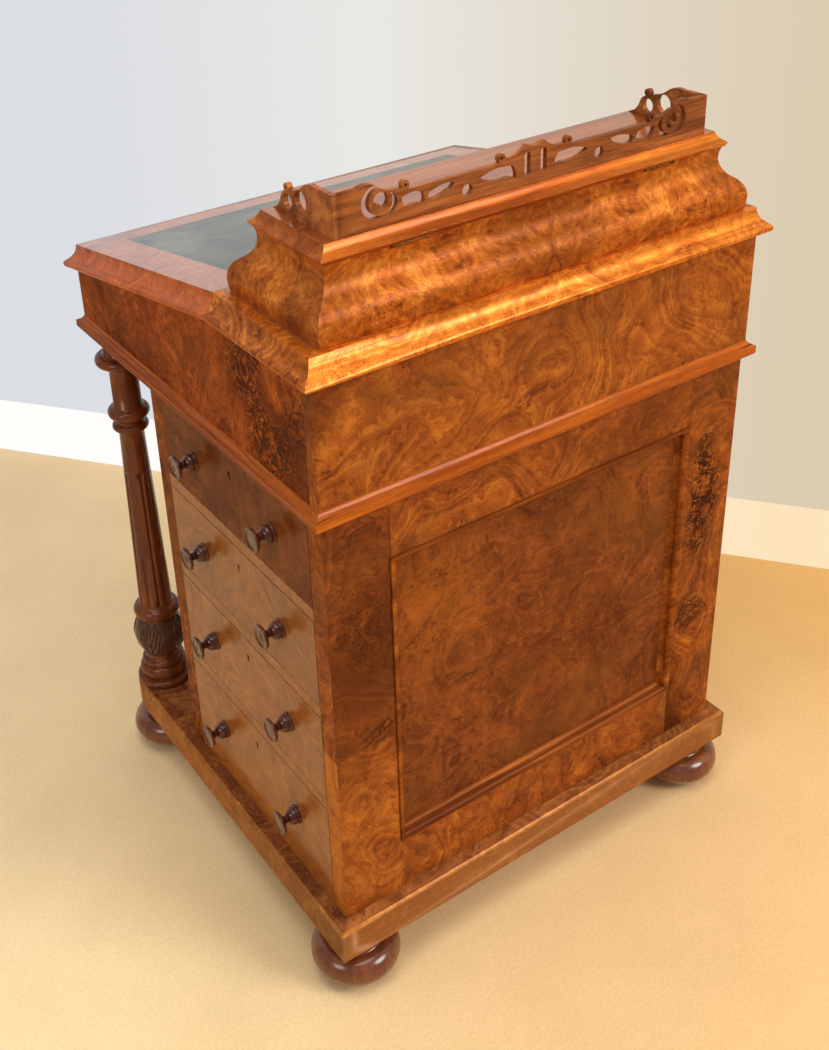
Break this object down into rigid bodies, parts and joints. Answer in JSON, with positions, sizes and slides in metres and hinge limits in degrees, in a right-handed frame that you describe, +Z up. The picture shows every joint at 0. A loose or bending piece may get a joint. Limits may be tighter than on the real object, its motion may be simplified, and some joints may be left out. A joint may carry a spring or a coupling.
{
  "type": "davenport desk",
  "caption": "Small Victorian writing desk with a hinged leather-lined slope, a lidded stationery box under a pierced gallery, side drawers, turned pillars, bun feet and castors.",
  "frame": {"origin": "on the floor under the middle of the desk", "axes": "+Z up, +Y toward the tall back with the stationery box, -Y toward the writer, +X toward the side on which the drawers open"},
  "size_m": [0.584, 0.5387, 0.8748],
  "materials": {
    "burr_walnut": "French polished veneer",
    "figured_walnut": "French polished",
    "walnut": "French polished",
    "dark_walnut": "dark polish",
    "mahogany": "waxed",
    "leather": "worn",
    "brass": "aged"
  },
  "bodies": {
    "carcass": {"back_frame": "burr_walnut", "back_panel": "burr_walnut", "back_panel_moulding": "walnut", "box_back": "burr_walnut", "box_bottom": "mahogany", "box_front": "burr_walnut", "box_sides": "burr_walnut", "bun_foot_back_left": "dark_walnut", "bun_foot_back_right": "dark_walnut", "bun_foot_front_left": "dark_walnut", "bun_foot_front_right": "dark_walnut", "castor_sockets": "brass", "cornice": "walnut", "drawer_rails": "walnut", "dust_boards": "mahogany", "hinge_leaves_fixed": "brass", "knee_panel": "burr_walnut", "pillar_left": "dark_walnut", "pillar_right": "dark_walnut", "plinth": "walnut", "sham_fronts": "figured_walnut", "sham_knobs": "dark_walnut", "sham_side": "burr_walnut", "small_drawer_casing": "mahogany", "stationery_dividers": "mahogany", "stationery_walls": "burr_walnut", "top_board": "burr_walnut", "waist_moulding": "walnut"},
    "drawer_1": {"drawer_front_1": "figured_walnut", "drawer_box_1": "mahogany", "drawer_lock_1": "brass", "drawer_knobs_1": "dark_walnut"},
    "drawer_2": {"drawer_front_2": "figured_walnut", "drawer_box_2": "mahogany", "drawer_lock_2": "brass", "drawer_knobs_2": "dark_walnut"},
    "drawer_3": {"drawer_front_3": "figured_walnut", "drawer_box_3": "mahogany", "drawer_lock_3": "brass", "drawer_knobs_3": "dark_walnut"},
    "drawer_4": {"drawer_front_4": "figured_walnut", "drawer_box_4": "mahogany", "drawer_lock_4": "brass", "drawer_knobs_4": "dark_walnut"},
    "slope": {"writing_slope": "burr_walnut", "writing_leather": "leather", "slope_hinge_leaves": "brass"},
    "stationery_lid": {"stationery_lid": "burr_walnut", "gallery": "walnut", "lid_hinge_leaves": "brass"},
    "small_drawer_left": {"small_drawer_left": "mahogany"},
    "small_drawer_right": {"small_drawer_right": "mahogany"},
    "castor_back_right": {"castor_fork_back_right": "brass"},
    "wheel_back_right": {"castor_wheel_back_right": "brass"},
    "castor_back_left": {"castor_fork_back_left": "brass"},
    "wheel_back_left": {"castor_wheel_back_left": "brass"},
    "castor_front_right": {"castor_fork_front_right": "brass"},
    "wheel_front_right": {"castor_wheel_front_right": "brass"},
    "castor_front_left": {"castor_fork_front_left": "brass"},
    "wheel_front_left": {"castor_wheel_front_left": "brass"}
  },
  "joints": [
    {"name": "drawer_slide_1", "type": "slide", "parent": "carcass", "child": "drawer_1", "axis": [1, 0, 0], "range_m": [0, 0.38]},
    {"name": "drawer_slide_2", "type": "slide", "parent": "carcass", "child": "drawer_2", "axis": [1, 0, 0], "range_m": [0, 0.38]},
    {"name": "drawer_slide_3", "type": "slide", "parent": "carcass", "child": "drawer_3", "axis": [1, 0, 0], "range_m": [0, 0.38]},
    {"name": "drawer_slide_4", "type": "slide", "parent": "carcass", "child": "drawer_4", "axis": [1, 0, 0], "range_m": [0, 0.38]},
    {"name": "slope_hinge", "type": "hinge", "parent": "carcass", "child": "slope", "pos_m": [0, 0.07775, 0.7555], "axis": [-1, 0, 0], "range_deg": [0, 105]},
    {"name": "stationery_lid_hinge", "type": "hinge", "parent": "carcass", "child": "stationery_lid", "pos_m": [0, 0.22031, 0.8195], "axis": [-1, 0, 0], "range_deg": [0, 95]},
    {"name": "small_drawer_slide_left", "type": "slide", "parent": "carcass", "child": "small_drawer_left", "axis": [0, -1, 0], "range_m": [0, 0.11]},
    {"name": "small_drawer_slide_right", "type": "slide", "parent": "carcass", "child": "small_drawer_right", "axis": [0, -1, 0], "range_m": [0, 0.11]},
    {"name": "castor_swivel_back_right", "type": "hinge", "parent": "carcass", "child": "castor_back_right", "pos_m": [0.242, 0.22075, 0.009], "axis": [0, 0, 1], "continuous": true},
    {"name": "wheel_axle_back_right", "type": "hinge", "parent": "castor_back_right", "child": "wheel_back_right", "pos_m": [0.248, 0.22075, 0.009], "axis": [0, 1, 0], "continuous": true},
    {"name": "castor_swivel_back_left", "type": "hinge", "parent": "carcass", "child": "castor_back_left", "pos_m": [-0.242, 0.22075, 0.009], "axis": [0, 0, 1], "continuous": true},
    {"name": "wheel_axle_back_left", "type": "hinge", "parent": "castor_back_left", "child": "wheel_back_left", "pos_m": [-0.236, 0.22075, 0.009], "axis": [0, 1, 0], "continuous": true},
    {"name": "castor_swivel_front_right", "type": "hinge", "parent": "carcass", "child": "castor_front_right", "pos_m": [0.2435, -0.21925, 0.009], "axis": [0, 0, 1], "continuous": true},
    {"name": "wheel_axle_front_right", "type": "hinge", "parent": "castor_front_right", "child": "wheel_front_right", "pos_m": [0.2495, -0.21925, 0.009], "axis": [0, 1, 0], "continuous": true},
    {"name": "castor_swivel_front_left", "type": "hinge", "parent": "carcass", "child": "castor_front_left", "pos_m": [-0.2435, -0.21925, 0.009], "axis": [0, 0, 1], "continuous": true},
    {"name": "wheel_axle_front_left", "type": "hinge", "parent": "castor_front_left", "child": "wheel_front_left", "pos_m": [-0.2375, -0.21925, 0.009], "axis": [0, 1, 0], "continuous": true}
  ]
}
